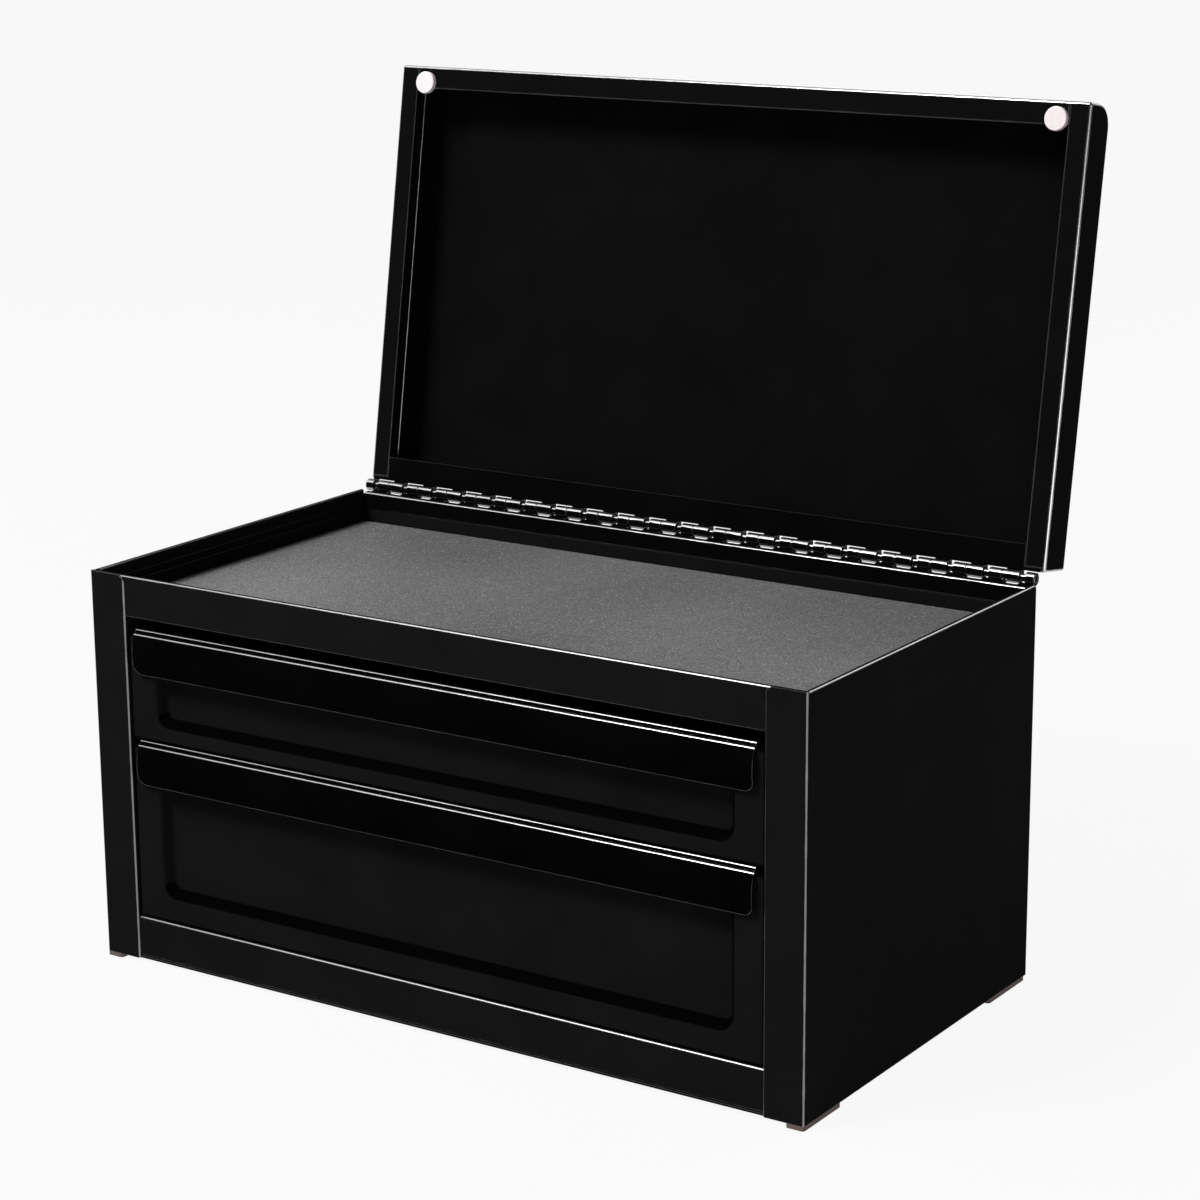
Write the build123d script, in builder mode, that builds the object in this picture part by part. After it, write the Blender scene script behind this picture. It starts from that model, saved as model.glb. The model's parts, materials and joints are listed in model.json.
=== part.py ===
"""Mini tool box: a sheet-steel case with a top tray under a hinged lid, and two drawers on friction slides.

The frame is in millimetres: +X to the right seen from the front, +Y to the back, +Z up. The origin is on the
surface that the box stands on, below the middle of the case. The lid is modelled open, resting on its stop.
"""
from build123d import *
import os
from math import cos, radians, sin, tan

# Case and sheet metal
case_width = 278.0
case_depth = 149.4
case_height = 135.8
sheet = 0.8
bend_radius = 1.0
hem_thickness = 2.0
hem_height = 4.5
hem_fold_share = 0.45
play = 0.2
running_gap = 0.3

# Front posts, header and bottom rail
post_width = 14.6
post_return = 8.0
post_corner_radius = 3.0
header_drop = 0.2
rail_height = 14.4
rail_flange = 9.0
rear_corner_radius = 1.5

# Back panel, base pan and feet
back_flange = 12.0
base_flange = 9.2
foot_height = 1.5
foot_width = 6.5
front_foot_length = 22.8
rear_foot_length = 26.0
rear_foot_inset = 1.0

# Top tray
tray_depth = 11.7
tray_flange = 6.0
liner_thickness = 1.6
liner_play = 0.8
liner_corner_radius = 1.6
liner_edge_radius = 0.3

# Hinge
knuckle_radius = 2.15
pin_clearance = 0.05
pin_chamfer = 0.3
axis_behind_case = 4.23
axis_above_rim = 2.45
body_leaf_height = 5.2
body_leaf_ledge = 1.0
knuckle_pairs = 20
body_knuckle_length = 4.65
knuckle_gap = 0.4
pin_window = 2.34
hinge_left_margin = 0.2
first_body_knuckle = 5.62
last_body_knuckle = 5.38
lid_leaf_width = 8.75
lid_leaf_rear = 1.2
lid_leaf_corner = 0.8
first_stop_knuckle = 1
stop_knuckle_step = 6
stop_spur_width = 1.2
stop_clearance = 0.15

# Lid
lid_opening_angle = 99.46
lid_length = 153.55
lid_depth = 15.1
lid_rear_offset = 2.3
lid_front_radius = 8.0
lid_side_flange = 7.5
lid_front_flange = 8.0
lid_lip = 3.0
lid_seam = 0.3
magnet_diameter = 8.0
magnet_side_inset = 11.7
magnet_front_inset = 6.0
magnet_edge_radius = 0.4

# Drawer fronts
drawer_gap = 0.5
lower_drawer_height = 63.1
header_gap = 4.0
front_side_gap = 0.3
front_setback = 1.2
front_thickness = 8.0

# Debossed panel of a drawer front
recess_depth = 3.8
recess_wall_angle = 25.0
recess_side_margin = 11.1
recess_top_margin = 6.0
upper_recess_bottom_margin = 5.9
lower_recess_bottom_margin = 9.0
recess_corner_radius = 5.0
recess_edge_radius = 1.6
recess_floor_radius = 0.5

# Drawer pulls
pull_side_inset = 3.2
pull_height = 15.3
pull_wall = 0.8
pull_web = 6.0
pull_clearance = 0.35
pull_bead_radius = 1.0
pull_bead_setback = 1.0
pull_bead_rise = 1.4
pull_bend_radius = 0.8
pull_bend_angle = 72.0
pull_corner_radius = 3.5

# Drawer boxes
slide_space = 9.0
box_length = 134.0
box_lift = 2.2
box_sink = 3.5
drawer_liner_thickness = 1.2

# Friction slides
drawer_travel = 100.0
slide_height = 11.0
slide_clearance = 1.0
stop_tab_overlap = 4.0

# Places that follow from the driving dimensions
half_width = case_width / 2
half_sheet = sheet / 2
mid_bend = bend_radius - half_sheet
mid_hem = hem_thickness - sheet
hem_fold = hem_fold_share * mid_hem
front_y = -case_depth / 2
back_y = case_depth / 2
inner_x = half_width - sheet
inner_back_y = back_y - sheet
case_bottom = foot_height
floor_top = case_bottom + sheet
rim_z = case_bottom + case_height
opening_x = half_width - post_width
header_y = front_y + sheet
header_top = rim_z - header_drop
tray_floor_top = rim_z - tray_depth - liner_thickness
tray_floor_bottom = tray_floor_top - sheet
tray_flange_top = tray_floor_top + tray_flange
header_bottom = tray_floor_bottom
rail_top = floor_top + rail_height

back_rim_z = tray_flange_top + running_gap + body_leaf_height
axis_y = back_y + axis_behind_case
axis_z = back_rim_z + axis_above_rim
bore_radius = knuckle_radius - sheet
pin_radius = bore_radius - pin_clearance
leaf_half_length = half_width - hem_thickness - play
hinge_left = -half_width + hinge_left_margin
hinge_right = leaf_half_length
knuckle_pitch = (case_width - first_body_knuckle - last_body_knuckle) / knuckle_pairs
lid_knuckle_length = knuckle_pitch - pin_window - body_knuckle_length - knuckle_gap
body_knuckle_starts = [first_body_knuckle - half_width + knuckle_pitch * k for k in range(knuckle_pairs + 1)]
lid_knuckle_starts = [start + body_knuckle_length + knuckle_gap for start in body_knuckle_starts[:-1]]
end_knuckle_length = body_knuckle_starts[0] - pin_window - hinge_left
lid_knuckles = [(start, lid_knuckle_length) for start in lid_knuckle_starts]
lid_knuckles.insert(0, (hinge_left, end_knuckle_length))
ledge_back_y = back_y + body_leaf_ledge

lid_lean = radians(lid_opening_angle - 90.0)
lid_up = (0, sin(lid_lean), cos(lid_lean))
lid_out = (0, cos(lid_lean), -sin(lid_lean))
lid_mouth = bore_radius
lid_skin = lid_mouth + lid_depth
lid_front = lid_rear_offset + lid_length
lid_leaf_end = lid_rear_offset + lid_leaf_width
leaf_rear_end = lid_rear_offset + lid_leaf_rear
side_flange_start = leaf_rear_end + play
front_flange_start = lid_front - lid_front_flange
magnet_thickness = axis_z + lid_mouth - rim_z - running_gap

face_y = front_y + front_setback
face_back_y = face_y + front_thickness
face_half_width = opening_x - front_side_gap
recess_back_y = face_y + recess_depth + sheet
half_pull_wall = pull_wall / 2
cover_y = face_y - pull_clearance - half_pull_wall
pull_bend_y = cover_y + pull_bend_radius * sin(radians(pull_bend_angle))
pull_web_rise = pull_bead_rise + pull_wall
lower_face_bottom = rail_top + drawer_gap
lower_pull_top = lower_face_bottom + lower_drawer_height
lower_face_top = lower_pull_top - pull_web_rise
upper_face_bottom = lower_pull_top + drawer_gap
upper_pull_top = header_bottom - header_gap
upper_face_top = upper_pull_top - pull_web_rise

box_half_width = opening_x - slide_space
box_back_y = recess_back_y + box_length
runner_front_y = face_back_y + running_gap
runner_back_y = back_y - back_flange - running_gap
runner_mouth_x = box_half_width + 2 * sheet
runner_half_height = slide_height / 2
rail_mouth_x = opening_x - slide_clearance
rail_half_height = runner_half_height - sheet - running_gap
runner_tab_x = rail_mouth_x + slide_clearance
rail_tab_x = runner_tab_x + stop_tab_overlap
rail_tab_y = runner_front_y + sheet + running_gap + drawer_travel


def across(x):
    """A plane for sections in Y and Z, extruded towards +X."""
    return Plane.YZ.offset(x)


def along(y):
    """A plane for sections in X and Z, extruded towards +Y: its own x runs to -X."""
    return Plane(origin=(0, y, 0), x_dir=(-1, 0, 0), z_dir=(0, 1, 0))


def lid_section(x):
    """A plane for sections of the lid, extruded towards -X: its x runs up the open lid, its y out of it."""
    return Plane(origin=(x, axis_y, axis_z), x_dir=lid_up, z_dir=(-1, 0, 0))


def lid_level(depth):
    """A plane in the open lid at a distance out from the hinge axis: its y runs up the lid, its x to -X."""
    origin = (0, axis_y + depth * lid_out[1], axis_z + depth * lid_out[2])
    return Plane(origin=origin, x_dir=(-1, 0, 0), z_dir=lid_out)


def bent_sheet(plane, points, folds):
    """The section of a bent sheet whose mid-line runs through the points, with one fold radius per corner."""
    with BuildSketch(plane) as section:
        with BuildLine():
            FilletPolyline(*points, radius=folds)
        trace(line_width=sheet)
    return section.sketch


def block(x0, x1, y0, y1, z0, z1, mode=Mode.ADD):
    """A box between its limits, added to or cut from the piece being made."""
    with Locations(((x0 + x1) / 2, (y0 + y1) / 2, (z0 + z1) / 2)):
        Box(abs(x1 - x0), abs(y1 - y0), abs(z1 - z0), mode=mode)


def lid_bar(x0, x1, up0, up1, out0, out1, mode=Mode.ADD):
    """A bar in the open lid: its limits across, up and out are taken from the hinge axis."""
    with BuildSketch(lid_section(max(x0, x1))) as section:
        with Locations(((up0 + up1) / 2, (out0 + out1) / 2)):
            Rectangle(up1 - up0, out1 - out0)
    extrude(section.sketch, amount=abs(x1 - x0), mode=mode)


def round_corner(plane, corner, inward, radius, depth):
    """Rounds a corner of a flat sheet through the depth behind the plane."""
    with BuildSketch(plane) as waste:
        with Locations((corner[0] + inward[0] * radius / 2, corner[1] + inward[1] * radius / 2)):
            Rectangle(radius, radius)
        with Locations((corner[0] + inward[0] * radius, corner[1] + inward[1] * radius)):
            Circle(radius, mode=Mode.SUBTRACT)
    extrude(waste.sketch, amount=depth, mode=Mode.SUBTRACT)


def write(part, name):
    """Labels a finished piece and writes it under its name."""
    part.label = name
    export_step(part, f"parts/{name}.step")


# Case
def side_panel(side):
    """A side wall with its front post, the post's return between rail and header, and the hemmed rim."""
    wall_x = side * (half_width - half_sheet)
    post_y = front_y + half_sheet
    return_x = side * (opening_x + half_sheet)
    return_y = front_y + post_return
    wall = bent_sheet(
        Plane.XY.offset(case_bottom),
        [(wall_x, back_y), (wall_x, post_y), (return_x, post_y), (return_x, return_y)],
        [mid_bend, mid_bend],
    )
    hem_x = side * (half_width - hem_thickness + half_sheet)
    fold_z = rim_z - half_sheet
    hem_front = front_y + bend_radius
    hem = bent_sheet(
        along(hem_front),
        [(-wall_x, rim_z - hem_thickness), (-wall_x, fold_z), (-hem_x, fold_z), (-hem_x, rim_z - hem_height)],
        [hem_fold, hem_fold],
    )
    outside = side * (half_width + sheet)
    behind_wall = side * inner_x
    past_hem = side * (half_width - hem_thickness - sheet)
    with BuildPart() as panel:
        extrude(wall, amount=case_height)
        block(behind_wall, 0, header_y, return_y, header_bottom - play, rim_z, Mode.SUBTRACT)
        block(behind_wall, 0, header_y, return_y, case_bottom, rail_top + play, Mode.SUBTRACT)
        block(outside, past_hem, hem_front, back_y, rim_z - hem_thickness, rim_z, Mode.SUBTRACT)
        extrude(hem, amount=back_y - hem_front)
        header_back = header_y + hem_thickness + running_gap
        leaf_front = inner_back_y - sheet - running_gap
        hem_bottom = rim_z - hem_height
        block(behind_wall, past_hem, header_y, header_back, hem_bottom, rim_z, Mode.SUBTRACT)
        block(behind_wall, past_hem, leaf_front, back_y, hem_bottom, rim_z, Mode.SUBTRACT)
        round_corner(along(front_y), (-side * opening_x, rim_z), (-side, -1), post_corner_radius, sheet)
        round_corner(across(-half_width), (back_y, rim_z), (-1, -1), rear_corner_radius, case_width)
    return panel.part


def back_panel():
    """The back between the side panels, with flanges that lie against them below the tray."""
    flange_x = inner_x - half_sheet
    wall_y = back_y - half_sheet
    flange_front = back_y - back_flange
    wall = bent_sheet(
        Plane.XY.offset(case_bottom),
        [(-flange_x, flange_front), (-flange_x, wall_y), (flange_x, wall_y), (flange_x, flange_front)],
        [mid_bend, mid_bend],
    )
    flange_bottom = floor_top + base_flange + play
    flange_top = tray_floor_bottom - play
    with BuildPart() as panel:
        extrude(wall, amount=back_rim_z - case_bottom)
        for side in (-1, 1):
            flange = (side * inner_x, side * (inner_x - 2 * sheet), flange_front, inner_back_y)
            block(*flange, case_bottom, flange_bottom, Mode.SUBTRACT)
            block(*flange, flange_top, back_rim_z, Mode.SUBTRACT)
        rim_edges = panel.faces().sort_by(Axis.Z)[-1].edges().filter_by(Axis.X)
        fillet(rim_edges.sort_by(Axis.Y)[0], radius=bend_radius - sheet)
    return panel.part


def front_header():
    """The strip above the drawers, behind the posts, with a hem along its top."""
    half_length = inner_x - play
    face = header_y + half_sheet
    hem_y = face + mid_hem
    fold_z = header_top - half_sheet
    section = bent_sheet(
        across(-half_length),
        [(face, header_bottom), (face, fold_z), (hem_y, fold_z), (hem_y, header_top - hem_height)],
        [hem_fold, hem_fold],
    )
    with BuildPart() as header:
        extrude(section, amount=2 * half_length)
    return header.part


def bottom_rail():
    """The strip below the drawers, behind the posts: a channel that stands on the base pan."""
    half_length = inner_x - sheet - play
    face = header_y + half_sheet
    flange_y = header_y + rail_flange
    low = floor_top + half_sheet
    high = rail_top - half_sheet
    section = bent_sheet(
        across(-half_length),
        [(flange_y, low), (face, low), (face, high), (flange_y, high)],
        [mid_bend, mid_bend],
    )
    with BuildPart() as rail:
        extrude(section, amount=2 * half_length)
    return rail.part


def pan(bottom, pan_front, flange_top):
    """A floor between the side panels and the back, with its sides and back turned up."""
    side_x = inner_x - half_sheet
    floor_z = bottom + half_sheet
    section = bent_sheet(
        along(pan_front),
        [(-side_x, flange_top), (-side_x, floor_z), (side_x, floor_z), (side_x, flange_top)],
        [mid_bend, mid_bend],
    )
    end_x = inner_x - sheet
    with BuildPart() as tray:
        extrude(section, amount=inner_back_y - pan_front)
        block(-end_x, end_x, inner_back_y - sheet, inner_back_y, floor_z, flange_top)
    return tray.part


def base_pan():
    """The bottom of the case, below the rail."""
    return pan(case_bottom, header_y, floor_top + base_flange)


def tray_pan():
    """The floor of the top tray, with a flange behind the header too."""
    end_x = inner_x - sheet
    pan_front = header_y + sheet
    with BuildPart() as tray:
        add(pan(tray_floor_bottom, pan_front, tray_flange_top))
        block(-end_x, end_x, pan_front, pan_front + sheet, tray_floor_bottom + half_sheet, tray_flange_top)
    return tray.part


def tray_liner():
    """The mat on the top tray's floor."""
    half_length = inner_x - sheet - liner_play
    front = header_y + 2 * sheet + liner_play
    back = inner_back_y - sheet - liner_play
    return mat(half_length, front, back, tray_floor_top, liner_thickness)


def mat(half_length, front, back, floor, thickness):
    """A flat liner with rounded corners and a softened upper edge."""
    with BuildPart() as liner:
        block(-half_length, half_length, front, back, floor, floor + thickness)
        fillet(liner.edges().filter_by(Axis.Z), radius=liner_corner_radius)
        fillet(liner.faces().sort_by(Axis.Z)[-1].edges(), radius=liner_edge_radius)
    return liner.part


def foot(side, front, length):
    """A pad below one corner of the case."""
    outer = side * half_width
    with BuildPart() as pad:
        block(outer, outer - side * foot_width, front, front + length, 0, foot_height)
        fillet(pad.edges().filter_by(Axis.Z), radius=bend_radius)
    return pad.part


# Hinge
def knuckle(start, length):
    """A rolled knuckle about the hinge axis, still without its bore."""
    with BuildSketch(across(start)) as roll:
        with Locations((axis_y, axis_z)):
            Circle(knuckle_radius)
    extrude(roll.sketch, amount=length)


def bore():
    """Bores all knuckles of a leaf."""
    with BuildSketch(across(hinge_left)) as hole:
        with Locations((axis_y, axis_z)):
            Circle(bore_radius)
    extrude(hole.sketch, amount=hinge_right - hinge_left, mode=Mode.SUBTRACT)


def hinge_body_leaf():
    """The leaf inside the back wall: it folds over the rim and rolls into knuckles between its notches."""
    leaf_y = inner_back_y - half_sheet
    leaf_bottom = back_rim_z - body_leaf_height
    fold_z = back_rim_z + half_sheet
    leaf_line = [(leaf_y, leaf_bottom), (leaf_y, fold_z), (axis_y, fold_z)]
    notch_side = knuckle_gap / 2
    notch = (ledge_back_y, axis_y, back_rim_z, back_rim_z + sheet)
    with BuildPart() as leaf:
        extrude(bent_sheet(across(-leaf_half_length), leaf_line, [mid_bend]), amount=2 * leaf_half_length)
        for start, length in lid_knuckles:
            block(start - notch_side, start + length + notch_side, *notch, Mode.SUBTRACT)
        for start in body_knuckle_starts:
            knuckle(start, min(body_knuckle_length, hinge_right - start))
        bore()
    return leaf.part


def hinge_lid_leaf():
    """The leaf that closes the lid's rear edge, with its knuckles and the spurs that stop the open lid."""
    rear_half = inner_x - play
    leaf_half = half_width - lid_side_flange - play
    knuckle_bottom = axis_z - knuckle_radius
    spur = (ledge_back_y + stop_clearance, axis_y, knuckle_bottom, knuckle_bottom + sheet)
    with BuildPart() as leaf:
        with BuildSketch(lid_level(lid_mouth)) as plate:
            with Locations((0, (lid_rear_offset + lid_leaf_end) / 2)):
                Rectangle(2 * leaf_half, lid_leaf_width)
            with Locations((0, (lid_rear_offset + leaf_rear_end) / 2)):
                Rectangle(2 * rear_half, lid_leaf_rear)
            chamfer(plate.vertices().group_by(Axis.Y)[0], length=lid_leaf_corner)
        extrude(amount=sheet)
        for start, length in lid_knuckles:
            tab_start = max(start, -rear_half)
            lid_bar(tab_start, start + length, 0, leaf_rear_end, lid_mouth, lid_mouth + sheet)
            knuckle(start, length)
        for start in lid_knuckle_starts[first_stop_knuckle::stop_knuckle_step]:
            block(start, start + stop_spur_width, *spur)
        bore()
    return leaf.part


def hinge_pin():
    """The pin through all the knuckles."""
    with BuildPart() as pin:
        with BuildSketch(across(hinge_left)):
            with Locations((axis_y, axis_z)):
                Circle(pin_radius)
        extrude(amount=hinge_right - hinge_left)
        chamfer(pin.edges().filter_by(GeomType.CIRCLE), length=pin_chamfer)
    return pin.part


# Lid
def lid_form(inset):
    """The open lid's closed outer form, or the hollow in it when it is drawn in by the sheet."""
    rear = lid_rear_offset + inset
    front = lid_front - inset
    mouth = lid_mouth + inset
    skin = lid_skin - inset
    half_length = half_width - inset
    with BuildPart() as form:
        with BuildSketch(lid_section(half_length)) as profile:
            with BuildLine():
                Polyline((rear, mouth), (rear, skin), (front, skin), (front, mouth), close=True)
            make_face()
            front_bend = profile.vertices().sort_by(lambda corner: corner.X + corner.Y)[-1]
            fillet(front_bend, radius=lid_front_radius - inset)
            near_mouth = (rear + sheet, mouth + sheet)
            sharp = profile.vertices().filter_by(lambda c: c.X < near_mouth[0] or c.Y < near_mouth[1])
            fillet(sharp, radius=bend_radius - inset)
        extrude(amount=2 * half_length)
        fillet(form.faces().filter_by(Axis.X).edges(), radius=bend_radius - inset)
    return form.part


def lid_shell():
    """The lid's skin, skirts and turned-in flanges with their return lips."""
    flange_x = half_width - lid_side_flange
    flange_out = lid_mouth + sheet
    lip_out = lid_mouth + lid_lip
    front_lip = front_flange_start + sheet
    seam_end = lid_front - bend_radius
    with BuildPart() as shell:
        add(lid_form(0))
        add(lid_form(sheet), mode=Mode.SUBTRACT)
        mouth = (side_flange_start, front_flange_start, lid_mouth, flange_out)
        lid_bar(-flange_x, flange_x, *mouth, Mode.SUBTRACT)
        leaf_gap = (lid_rear_offset, side_flange_start, lid_mouth, flange_out)
        lid_bar(-inner_x, inner_x, *leaf_gap, Mode.SUBTRACT)
        rear_ledge = (lid_rear_offset + half_sheet, lid_leaf_end - sheet, flange_out, flange_out + sheet)
        lid_bar(-inner_x, inner_x, *rear_ledge)
        lip_end = flange_x - lid_seam
        for side in (-1, 1):
            side_lip = (side_flange_start, front_flange_start, lid_mouth, lip_out)
            lid_bar(side * flange_x, side * (flange_x + sheet), *side_lip)
            seam = (front_flange_start, seam_end, lid_mouth, flange_out)
            lid_bar(side * flange_x, side * lip_end, *seam, Mode.SUBTRACT)
        lid_bar(-lip_end, lip_end, front_flange_start, front_lip, lid_mouth, lip_out)
    return shell.part


def lid_magnet(side):
    """A round magnet below the lid's front flange, which holds the shut lid at the rim."""
    with BuildPart() as magnet:
        with BuildSketch(lid_level(lid_mouth)):
            with Locations((-side * (half_width - magnet_side_inset), lid_front - magnet_front_inset)):
                Circle(magnet_diameter / 2)
        extrude(amount=-magnet_thickness)
        rims = magnet.edges().filter_by(GeomType.CIRCLE)
        fillet(rims.sort_by(Axis.Y)[0], radius=magnet_edge_radius)
    return magnet.part


# Drawers
def front_form(bottom, top, recess_bottom, inset):
    """A drawer front as a closed form with its debossed panel, or the hollow in its skin when drawn in."""
    half_length = face_half_width - inset
    recess_grow = inset * tan(radians(45 - recess_wall_angle / 2))
    recess_half = face_half_width - recess_side_margin + recess_grow
    low = bottom + recess_bottom - recess_grow
    high = top - recess_top_margin + recess_grow
    with BuildPart() as form:
        block(-half_length, half_length, face_y + inset, face_back_y + inset, bottom + inset, top - inset)
        outer_edges = form.edges().filter_by(Axis.Y) + form.faces().sort_by(Axis.Y)[0].edges()
        fillet(outer_edges, radius=bend_radius - inset)
        with BuildSketch(along(face_y + inset)):
            with Locations((0, (low + high) / 2)):
                RectangleRounded(2 * recess_half, high - low, recess_corner_radius + recess_grow)
        extrude(amount=recess_depth, taper=recess_wall_angle, mode=Mode.SUBTRACT)
        front_faces = form.faces().filter_by(Axis.Y).sort_by(Axis.Y)
        fillet(front_faces[1].edges(), radius=recess_floor_radius + inset)
        front_faces = form.faces().filter_by(Axis.Y).sort_by(Axis.Y)
        fillet(front_faces[0].inner_wires()[0].edges(), radius=recess_edge_radius - inset)
    return form.part


def drawer_front(bottom, top, recess_bottom):
    """The sheet skin of a drawer front, open at its back."""
    with BuildPart() as front:
        add(front_form(bottom, top, recess_bottom, 0))
        add(front_form(bottom, top, recess_bottom, sheet), mode=Mode.SUBTRACT)
    return front.part


def drawer_pull(top):
    """A full-width pull: a web on the front's top, a bead along it and a curved cover before it."""
    half_length = face_half_width - pull_side_inset
    web_z = top - pull_bead_rise - half_pull_wall
    bottom = top - pull_height
    with BuildPart() as pull:
        with BuildSketch(across(-half_length)):
            with BuildLine():
                web = Line((face_y + pull_web, web_z), (pull_bend_y, web_z))
                bend = JernArc(web @ 1, web % 1, radius=pull_bend_radius, arc_size=pull_bend_angle)
                TangentArc(bend @ 1, (cover_y, bottom), tangent=bend % 1)
            trace(line_width=pull_wall)
            with Locations((face_y + pull_bead_setback, top - pull_bead_radius)):
                Circle(pull_bead_radius)
        extrude(amount=2 * half_length)
        in_front = face_y - pull_height
        below = pull.part.bounding_box().min.Z
        for side in (-1, 1):
            corner = (-side * half_length, below)
            round_corner(along(in_front), corner, (side, 1), pull_corner_radius, pull_height)
    return pull.part


def drawer_box(bottom, top):
    """The sheet box behind a drawer front, with hemmed rims."""
    wall_x = box_half_width - half_sheet
    hem_x = wall_x - mid_hem
    fold_z = top - half_sheet
    floor_z = bottom + half_sheet
    hem_z = top - hem_height
    half_section = [(hem_x, hem_z), (hem_x, fold_z), (wall_x, fold_z), (wall_x, floor_z)]
    other_half = [(-x, z) for x, z in reversed(half_section)]
    folds = [hem_fold, hem_fold, mid_bend]
    section = bent_sheet(along(recess_back_y), half_section + other_half, folds + folds[::-1])
    end_x = box_half_width - sheet
    with BuildPart() as box:
        extrude(section, amount=box_length)
        for wall_y, inward in ((recess_back_y, 1), (box_back_y, -1)):
            face = wall_y + inward * half_sheet
            hem_y = face + inward * mid_hem
            end = bent_sheet(
                across(-end_x),
                [(face, floor_z), (face, fold_z), (hem_y, fold_z), (hem_y, hem_z)],
                [hem_fold, hem_fold],
            )
            extrude(end, amount=2 * end_x)
    return box.part


def drawer_liner(bottom):
    """The mat on a drawer's floor."""
    half_length = box_half_width - sheet - liner_play
    front = recess_back_y + sheet + liner_play
    back = box_back_y - sheet - liner_play
    return mat(half_length, front, back, bottom + sheet, drawer_liner_thickness)


def channel(side, web_x, mouth_x, middle, half_height, start, end):
    """A lying channel along the case, from its web to its mouth."""
    high = middle + half_height - half_sheet
    low = middle - half_height + half_sheet
    section = bent_sheet(
        along(start),
        [(-side * mouth_x, high), (-side * web_x, high), (-side * web_x, low), (-side * mouth_x, low)],
        [mid_bend, mid_bend],
    )
    extrude(section, amount=end - start)


def case_runner(side, middle):
    """The channel on a side panel that a drawer's rail slides in, with a tab at its front."""
    web_x = inner_x - half_sheet
    tab_half = runner_half_height - half_sheet
    with BuildPart() as runner:
        channel(side, web_x, runner_mouth_x, middle, runner_half_height, runner_front_y, runner_back_y)
        tab = (side * web_x, side * runner_tab_x, runner_front_y, runner_front_y + sheet)
        block(*tab, middle - tab_half, middle + tab_half)
    return runner.part


def drawer_rail(side, middle):
    """The channel on a drawer box that slides in the runner, with the tab that stops the open drawer."""
    web_x = box_half_width + half_sheet
    tab_half = rail_half_height - half_sheet
    with BuildPart() as rail:
        channel(side, web_x, rail_mouth_x, middle, rail_half_height, face_back_y + play, box_back_y)
        tab = (side * web_x, side * rail_tab_x, rail_tab_y, rail_tab_y + sheet)
        block(*tab, middle - tab_half, middle + tab_half)
    return rail.part


os.makedirs("parts", exist_ok=True)

write(back_panel(), "back_panel")
write(front_header(), "front_header")
write(bottom_rail(), "bottom_rail")
write(base_pan(), "base_pan")
write(tray_pan(), "tray_pan")
write(tray_liner(), "tray_liner")
write(hinge_body_leaf(), "hinge_body_leaf")
write(hinge_lid_leaf(), "hinge_lid_leaf")
write(hinge_pin(), "hinge_pin")
write(lid_shell(), "lid_shell")

for name, side in (("left", -1), ("right", 1)):
    write(side_panel(side), f"{name}_side_panel")
    write(foot(side, front_y, front_foot_length), f"front_{name}_foot")
    write(foot(side, back_y - rear_foot_inset - rear_foot_length, rear_foot_length), f"rear_{name}_foot")
    write(lid_magnet(side), f"lid_magnet_{name}")

drawers = {
    "upper": (upper_face_bottom, upper_face_top, upper_pull_top, upper_recess_bottom_margin),
    "lower": (lower_face_bottom, lower_face_top, lower_pull_top, lower_recess_bottom_margin),
}
for drawer, (face_bottom, face_top, pull_top, recess_bottom) in drawers.items():
    box_bottom = face_bottom + box_lift
    box_top = face_top - box_sink
    slide_z = (box_bottom + box_top) / 2
    write(drawer_front(face_bottom, face_top, recess_bottom), f"{drawer}_drawer_front")
    write(drawer_pull(pull_top), f"{drawer}_drawer_pull")
    write(drawer_box(box_bottom, box_top), f"{drawer}_drawer_box")
    write(drawer_liner(box_bottom), f"{drawer}_drawer_liner")
    for name, side in (("left", -1), ("right", 1)):
        write(case_runner(side, slide_z), f"{drawer}_{name}_runner")
        write(drawer_rail(side, slide_z), f"{drawer}_{name}_rail")
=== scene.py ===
"""Mini tool box: the looks of a powder-coated steel tool chest, seen open and from its front right.

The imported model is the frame. Blender works in metres in the same axes: +X to the right seen from the front,
+Y to the back, +Z up, with the floor at z = 0.
"""
import json
import math

import bpy
from mathutils import Matrix, Vector

# Camera: angles in degrees, lengths in metres, the lens and sensor in millimetres
camera_azimuth = 33.66
camera_elevation = 14.53
camera_roll = -0.42
camera_distance = 1.0514
camera_target = (0.0172, 0.0, 0.1319)
camera_clip = 0.01
lens_length = 95.84
sensor_width = 36.0

# Studio: lengths in metres, the paper's grain in cells per metre
floor_size = 12.0
wall_distance = 3.0
wall_curve = 1.2
wall_curve_steps = 16
wall_height = 5.0
paper_scale = 20
paper_dark = 0.5
paper_light = 0.52
paper_roughness = 0.9
white_share = 0.92
world_strength = 0.1
lamp_distance = 2.0
middle = Vector((0.0, 0.0, 0.14))
white = (1.0, 1.0, 1.0, 1.0)
black = (0.0, 0.0, 0.0, 1.0)

# Noise: the range that most of its values lie in
noise_low = 0.3
noise_high = 0.7

# Bends and cut edges, which carry a painted highlight: pale grey metal on the black coat
case_edge_radius = 0.0003
lid_edge_radius = 0.0008
lid_lean = math.radians(9.46)
edge_samples = 4
bend_fade = 0.03
# The painted highlight's border wobbles at random, over this scale and depth
highlight_wobble_scale = 120
highlight_wobble_depth = 0.03

# Coat: scales in cells per metre, tones as screen values, the peel's height in metres
sheen = 0.03
cloud_scale = 40
cloud_step = 3
gloss_scale = 160
gloss_spread = 0.03
peel_scale = 900
peel_height = 0.000004

# Drawer fronts' coat: painted shade darkens a debossed wall as its normal turns up or left, from turn_start to
# turn_full
front_dark = 21
front_light = 25
front_roughness = 0.42
# Tone of the painted shade on the debossed walls
painted_wall_shade_tone = 4
turn_start = 0.1
turn_full = 0.35

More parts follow.
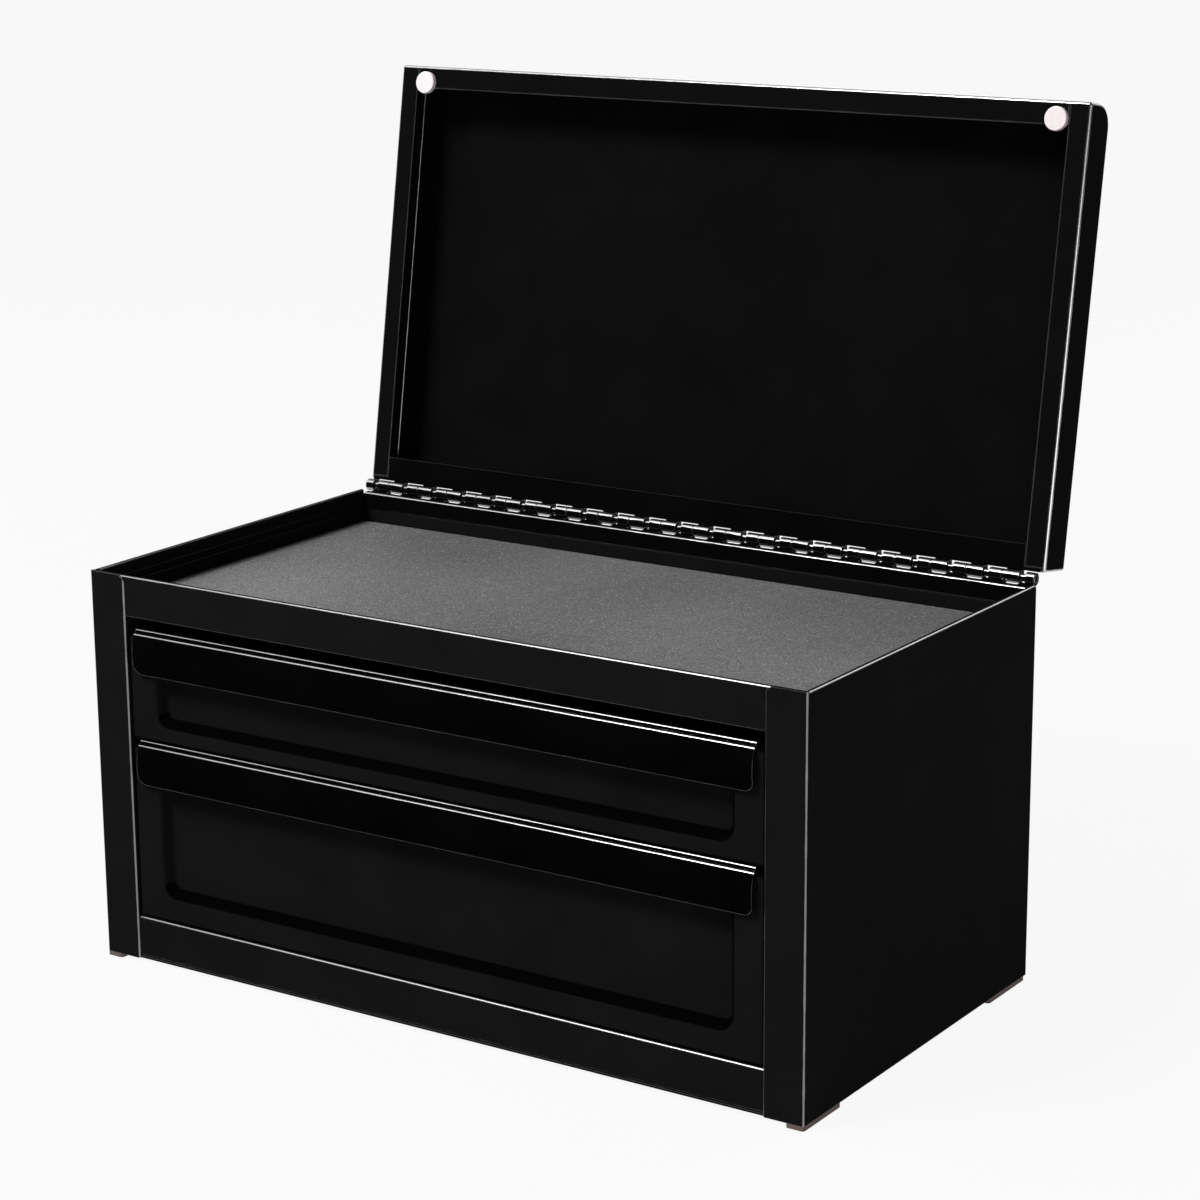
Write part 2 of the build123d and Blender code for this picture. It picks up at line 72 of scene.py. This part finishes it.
# Mat: scales in cells per metre, the pebbles' height in metres
pebble_scale = 1300
pebble_height = 0.0004
mat_cloud_scale = 9
# Pale specks on the mat are painted glints of its grain
glint_scale = 1700
glint_start = 0.66
glint_full = 0.72
glint_tone = 180

# Rubber of the feet
rubber_height = 0.00005

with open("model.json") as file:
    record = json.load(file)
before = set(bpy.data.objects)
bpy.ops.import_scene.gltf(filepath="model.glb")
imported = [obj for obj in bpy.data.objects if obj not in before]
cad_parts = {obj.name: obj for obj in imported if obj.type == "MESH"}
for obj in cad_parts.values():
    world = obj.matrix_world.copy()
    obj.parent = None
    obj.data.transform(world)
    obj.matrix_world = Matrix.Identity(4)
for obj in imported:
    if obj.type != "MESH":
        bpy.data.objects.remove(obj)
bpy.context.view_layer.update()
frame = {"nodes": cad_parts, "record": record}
nodes = frame["nodes"]


# Shader helpers
class Shader:
    """A material's node tree being built, with short names for what the materials use."""

    def __init__(self, name):
        self.material = bpy.data.materials.new(name)
        self.material.use_nodes = True
        self.tree = self.material.node_tree
        self.surface = self.tree.nodes["Principled BSDF"]

    def node(self, kind, inputs=None, **settings):
        """Adds a node, with its settings and what its inputs take."""
        made = self.tree.nodes.new(kind)
        for name, value in settings.items():
            setattr(made, name, value)
        for name, value in (inputs or {}).items():
            self.feed(made.inputs[name], value)
        return made

    def feed(self, socket, value):
        """Links another node's output to a socket, or writes a plain value on it."""
        if isinstance(value, bpy.types.NodeSocket):
            self.tree.links.new(value, socket)
        else:
            socket.default_value = value

    def set(self, **values):
        """Feeds the surface's own sockets, named with underscores for spaces."""
        for name, value in values.items():
            self.feed(self.surface.inputs[name.replace("_", " ")], value)

    def math(self, operation, *values):
        """Adds a math node and gives its result."""
        made = self.node("ShaderNodeMath", operation=operation)
        for socket, value in zip(made.inputs, values):
            self.feed(socket, value)
        return made.outputs["Value"]


def colour(red, green, blue):
    """A colour given in screen values from 0 to 255, made linear by the sRGB curve."""
    def linear(value):
        share = value / 255
        return share / 12.92 if share <= 0.04045 else ((share + 0.055) / 1.055) ** 2.4
    return (linear(red), linear(green), linear(blue), 1.0)


def grey(tone):
    """A grey given as a screen value."""
    return colour(tone, tone, tone)


def noise(shader, scale, detail, roughness=0.5):
    """Noise over the object's own coordinates, with its scale in cells per metre."""
    place = shader.node("ShaderNodeTexCoord")
    texture = shader.node(
        "ShaderNodeTexNoise",
        {"Vector": place.outputs["Object"], "Scale": scale, "Detail": detail, "Roughness": roughness},
    )
    return texture.outputs["Fac"]


def spread(shader, value, start, end, low, high):
    """Maps a value from start...end to low...high, and holds it there beyond."""
    ramp = shader.node(
        "ShaderNodeMapRange",
        {"Value": value, "From Min": start, "From Max": end, "To Min": low, "To Max": high},
    )
    return ramp.outputs["Result"]


def between(shader, value, low, high):
    """Maps noise from its usual range to low...high."""
    return spread(shader, value, noise_low, noise_high, low, high)


def wander(shader, low, high, scale, detail):
    """A value that drifts between low and high with the noise."""
    return between(shader, noise(shader, scale, detail), low, high)


def bump(shader, height, distance):
    """A surface raised by a height from 0 to 1, over a distance in metres."""
    made = shader.node("ShaderNodeBump", {"Height": height, "Distance": distance})
    return made.outputs["Normal"]


def blend_colours(shader, factor, first, second):
    """The first colour where the factor is 0 and the second where it is 1."""
    mix = shader.node("ShaderNodeMix", data_type="RGBA")
    shader.feed(mix.inputs["Factor"], factor)
    shader.feed(mix.inputs["A"], first)
    shader.feed(mix.inputs["B"], second)
    return mix.outputs["Result"]


def mottle(shader, first, second, scale, detail):
    """Two close colours mixed by the noise."""
    return blend_colours(shader, noise(shader, scale, detail), first, second)


def rounded_normal(shader, radius, lean):
    """The surface's direction in the piece's own upright axes, with its cut edges taken as rounded."""
    rounded = shader.node("ShaderNodeBevel", {"Radius": radius}, samples=edge_samples)
    own = shader.node(
        "ShaderNodeVectorTransform",
        {"Vector": rounded.outputs["Normal"]},
        vector_type="NORMAL",
        convert_from="WORLD",
        convert_to="OBJECT",
    )
    upright = shader.node(
        "ShaderNodeVectorRotate",
        {"Vector": own.outputs["Vector"], "Angle": lean},
        rotation_type="X_AXIS",
    )
    return upright.outputs["Vector"]


def bend_mask(shader, flat, radius, lean):
    """1 on bends and edges, 0 on faces that lie as square to the piece's axes as flat says, with a border that
    wobbles at random; it places the painted highlight.
    """
    direction = rounded_normal(shader, radius, lean)
    sides = shader.node("ShaderNodeVectorMath", {"Vector": direction}, operation="ABSOLUTE")
    parts = shader.node("ShaderNodeSeparateXYZ", {"Vector": sides.outputs["Vector"]})
    largest = shader.math("MAXIMUM", parts.outputs["X"], parts.outputs["Y"])
    largest = shader.math("MAXIMUM", largest, parts.outputs["Z"])
    highlight_wobble = wander(shader, -highlight_wobble_depth, highlight_wobble_depth, highlight_wobble_scale, detail=3)
    return spread(shader, shader.math("ADD", largest, highlight_wobble), flat, flat - bend_fade, 0.0, 1.0)


def clouded_coat(shader, dark, light):
    """Black coat that varies softly between two tones."""
    clouds = wander(shader, 0.0, 1.0, cloud_scale, detail=3)
    return blend_colours(shader, clouds, grey(dark), grey(light))


def uneven_gloss(shader, roughness):
    """Roughness that wanders a little around its mean."""
    return wander(shader, roughness - gloss_spread, roughness + gloss_spread, gloss_scale, detail=2)


def orange_peel(shader):
    """The faint ripple of sprayed powder."""
    return bump(shader, noise(shader, peel_scale, detail=1), peel_height)


# Materials
def powder_coat(name, tone, painted_highlight_tone, roughness, flat, radius=case_edge_radius, lean=0.0):
    """Black powder coat, with a painted highlight of pale grey metal along its bends and edges."""
    shader = Shader(name)
    mask = bend_mask(shader, flat, radius, lean)
    coat = clouded_coat(shader, tone, tone + cloud_step)
    shader.set(
        # Bends and edges turn to pale grey metal: a painted highlight
        Base_Color=blend_colours(shader, mask, coat, grey(painted_highlight_tone)),
        Metallic=shader.math("MAXIMUM", mask, sheen),
        Specular_IOR_Level=0.0,
        Roughness=uneven_gloss(shader, roughness),
        Normal=orange_peel(shader),
    )
    return shader.material


def front_paint():
    """The drawer fronts' coat, with painted shade darkest on the debossed panel's walls that turn up or to the
    left.
    """
    shader = Shader("front_paint")
    direction = rounded_normal(shader, case_edge_radius, lean=0.0)
    turn = shader.node("ShaderNodeSeparateXYZ", {"Vector": direction})
    upward = spread(shader, turn.outputs["Z"], turn_start, turn_full, 0.0, 1.0)
    leftward = spread(shader, turn.outputs["X"], -turn_start, -turn_full, 0.0, 1.0)
    painted_wall_shade = shader.math("MAXIMUM", upward, leftward)
    coat = clouded_coat(shader, front_dark, front_light)
    shader.set(
        # The debossed walls get painted shade in place of the coat's own colour
        Base_Color=blend_colours(shader, painted_wall_shade, coat, grey(painted_wall_shade_tone)),
        Metallic=sheen,
        Specular_IOR_Level=0.0,
        Roughness=uneven_gloss(shader, front_roughness),
        Normal=orange_peel(shader),
    )
    return shader.material


def liner_mat():
    """Grey mat with a fine pebbled grain, cloudy tone and pale specks as painted glints."""
    shader = Shader("liner_mat")
    pebbles = noise(shader, pebble_scale, detail=3, roughness=0.8)
    tops = between(shader, pebbles, 0.0, 1.0)
    dark_ground = blend_colours(shader, tops, colour(50, 50, 51), colour(124, 124, 125))
    light_ground = blend_colours(shader, tops, colour(78, 78, 79), colour(146, 146, 147))
    # Large random clouds mix the darker and the lighter ground
    clouds = wander(shader, 0.0, 1.0, mat_cloud_scale, detail=1)
    ground = blend_colours(shader, clouds, dark_ground, light_ground)
    # Painted glints: pale specks over the grain
    painted_glints = spread(shader, noise(shader, glint_scale, detail=1), glint_start, glint_full, 0.0, 1.0)
    shader.set(
        Base_Color=blend_colours(shader, painted_glints, ground, grey(glint_tone)),
        Roughness=between(shader, pebbles, low=0.75, high=0.55),
        Normal=bump(shader, pebbles, pebble_height),
    )
    return shader.material


def slide_steel():
    """Zinc-plated steel of the slides."""
    shader = Shader("slide_steel")
    shader.set(
        Base_Color=mottle(shader, colour(176, 178, 180), colour(196, 197, 196), scale=60, detail=3),
        Metallic=1.0,
        Roughness=wander(shader, low=0.28, high=0.4, scale=300, detail=3),
    )
    return shader.material


def magnet_plate():
    """Pale plated faces of the magnets."""
    shader = Shader("magnet_plate")
    shader.set(
        Base_Color=mottle(shader, colour(246, 234, 236), colour(252, 244, 245), scale=300, detail=2),
        Roughness=wander(shader, low=0.22, high=0.3, scale=700, detail=2),
    )
    return shader.material


def foot_pad():
    """Brownish rubber of the feet."""
    shader = Shader("foot_pad")
    shader.set(
        Base_Color=mottle(shader, colour(94, 80, 76), colour(112, 96, 90), scale=500, detail=2),
        Roughness=0.7,
        Normal=bump(shader, noise(shader, scale=1500, detail=2), rubber_height),
    )
    return shader.material


def backdrop_paper():
    """Paper that camera, mirror and glass rays see as near white, with the object's shadow on it."""
    shader = Shader("backdrop")
    paper = wander(shader, paper_dark, paper_light, paper_scale, detail=2)
    shader.set(
        Base_Color=blend_colours(shader, paper, black, white),
        Roughness=paper_roughness,
    )
    glow = shader.node("ShaderNodeEmission", {"Color": white, "Strength": 1.0})
    rays = shader.node("ShaderNodeLightPath")
    seen = shader.math("MAXIMUM", rays.outputs["Is Camera Ray"], rays.outputs["Is Glossy Ray"])
    seen = shader.math("MAXIMUM", seen, rays.outputs["Is Transmission Ray"])
    share = shader.math("MULTIPLY", seen, white_share)
    mix = shader.node("ShaderNodeMixShader")
    for socket, value in zip(mix.inputs, (share, shader.surface.outputs[0], glow.outputs[0])):
        shader.feed(socket, value)
    shader.feed(shader.tree.nodes["Material Output"].inputs["Surface"], mix.outputs[0])
    return shader.material


# Finishes of the CAD pieces: the record's material slots, but for the lid, whose darker copy of the coat is
# painted shade, and the drawer fronts, whose coat paints shade on its debossed walls
# Each coat's painted highlight tone is the grey of the pale metal on its bends
materials = {
    "body_paint": powder_coat("body_paint", tone=22, painted_highlight_tone=128, roughness=0.3, flat=0.9),
    "hinge_paint": powder_coat("hinge_paint", tone=8, painted_highlight_tone=160, roughness=0.22, flat=0.9, lean=lid_lean),
    "pull_finish": powder_coat("pull_finish", tone=4, painted_highlight_tone=138, roughness=0.2, flat=0.84),
    "liner_mat": liner_mat(),
    "slide_steel": slide_steel(),
    "magnet_plate": magnet_plate(),
    "foot_pad": foot_pad(),
}
# The lid's coat is a darker copy of the case's, as painted shade, with a brighter painted highlight on its
# bends
lid_shaded_paint = powder_coat(
    "lid_shaded_paint", tone=14, painted_highlight_tone=180, roughness=0.2, flat=0.965, radius=lid_edge_radius, lean=lid_lean
)
drawer_paint = front_paint()
piece_finishes = {
    "lid_shell": lid_shaded_paint,
    "upper_drawer_front": drawer_paint,
    "lower_drawer_front": drawer_paint,
}
for piece in frame["record"]["subparts"]:
    mesh = nodes[piece["node"]].data
    mesh.materials.clear()
    mesh.materials.append(piece_finishes.get(piece["node"], materials[piece["material_slot"]]))


# Studio: floor and backdrop in one sweep, soft lights
def sweep():
    """A pale floor that curves up into a backdrop behind the object."""
    azimuth = math.radians(camera_azimuth)
    forward = Vector((-math.sin(azimuth), math.cos(azimuth), 0))
    across = Vector((forward.y, -forward.x, 0))
    curve_start = wall_distance - wall_curve
    profile = [(-floor_size / 2, 0.0)]
    for step in range(wall_curve_steps + 1):
        angle = math.pi / 2 * step / wall_curve_steps
        profile.append((curve_start + wall_curve * math.sin(angle), wall_curve * (1 - math.cos(angle))))
    profile.append((wall_distance, wall_height))
    points = []
    for along, up in profile:
        for side in (-1, 1):
            points.append(forward * along + across * side * floor_size / 2 + Vector((0, 0, up)))
    faces = [(2 * row, 2 * row + 1, 2 * row + 3, 2 * row + 2) for row in range(len(profile) - 1)]
    mesh = bpy.data.meshes.new("backdrop")
    mesh.from_pydata(points, [], faces)
    mesh.polygons.foreach_set("use_smooth", [True] * len(faces))
    mesh.materials.append(backdrop_paper())
    backdrop = bpy.data.objects.new("backdrop", mesh)
    bpy.context.scene.collection.objects.link(backdrop)


def lamp(name, direction, size, radiance):
    """A rectangular soft lamp that faces the object, as bright as its radiance says."""
    data = bpy.data.lights.new(name, "AREA")
    data.shape = "RECTANGLE"
    data.size, data.size_y = size
    data.energy = radiance * math.pi * size[0] * size[1]
    made = bpy.data.objects.new(name, data)
    bpy.context.scene.collection.objects.link(made)
    towards = Vector(direction).normalized()
    made.location = middle + towards * lamp_distance
    made.rotation_euler = (-towards).to_track_quat("-Z", "Y").to_euler()


def light_world():
    """A dim even white all around."""
    world = bpy.data.worlds.new("studio")
    bpy.context.scene.world = world
    world.use_nodes = True
    sky = world.node_tree.nodes["Background"]
    sky.inputs["Color"].default_value = white
    sky.inputs["Strength"].default_value = world_strength


sweep()
lamp("key_lamp", direction=(-0.35, -0.55, 0.82), size=(0.6, 0.6), radiance=32.0)
lamp("left_top_lamp", direction=(-0.54, -0.25, 0.81), size=(1.25, 1.25), radiance=2.2)
lamp("back_lamp", direction=(0.25, 0.81, 0.54), size=(0.8, 0.8), radiance=3.0)
lamp("right_edge_lamp", direction=(0.81, -0.52, 0.05), size=(1.6, 0.5), radiance=2.4)
light_world()


# Camera
def place_camera():
    """The photograph's viewpoint, with its slight roll."""
    azimuth = math.radians(camera_azimuth)
    elevation = math.radians(camera_elevation)
    roll = math.radians(camera_roll)
    back = Vector((
        math.sin(azimuth) * math.cos(elevation),
        -math.cos(azimuth) * math.cos(elevation),
        math.sin(elevation),
    ))
    right = Vector((0, 0, 1)).cross(back).normalized()
    up = back.cross(right)
    rolled_right = right * math.cos(roll) + up * math.sin(roll)
    rolled_up = up * math.cos(roll) - right * math.sin(roll)
    data = bpy.data.cameras.new("camera")
    data.lens = lens_length
    data.sensor_width = sensor_width
    data.clip_start = camera_clip
    camera = bpy.data.objects.new("camera", data)
    bpy.context.scene.collection.objects.link(camera)
    turn = Matrix((rolled_right, rolled_up, back)).transposed().to_4x4()
    camera.matrix_world = Matrix.Translation(Vector(camera_target) + back * camera_distance) @ turn
    bpy.context.scene.camera = camera


place_camera()
bpy.context.scene.view_settings.view_transform = "Standard"
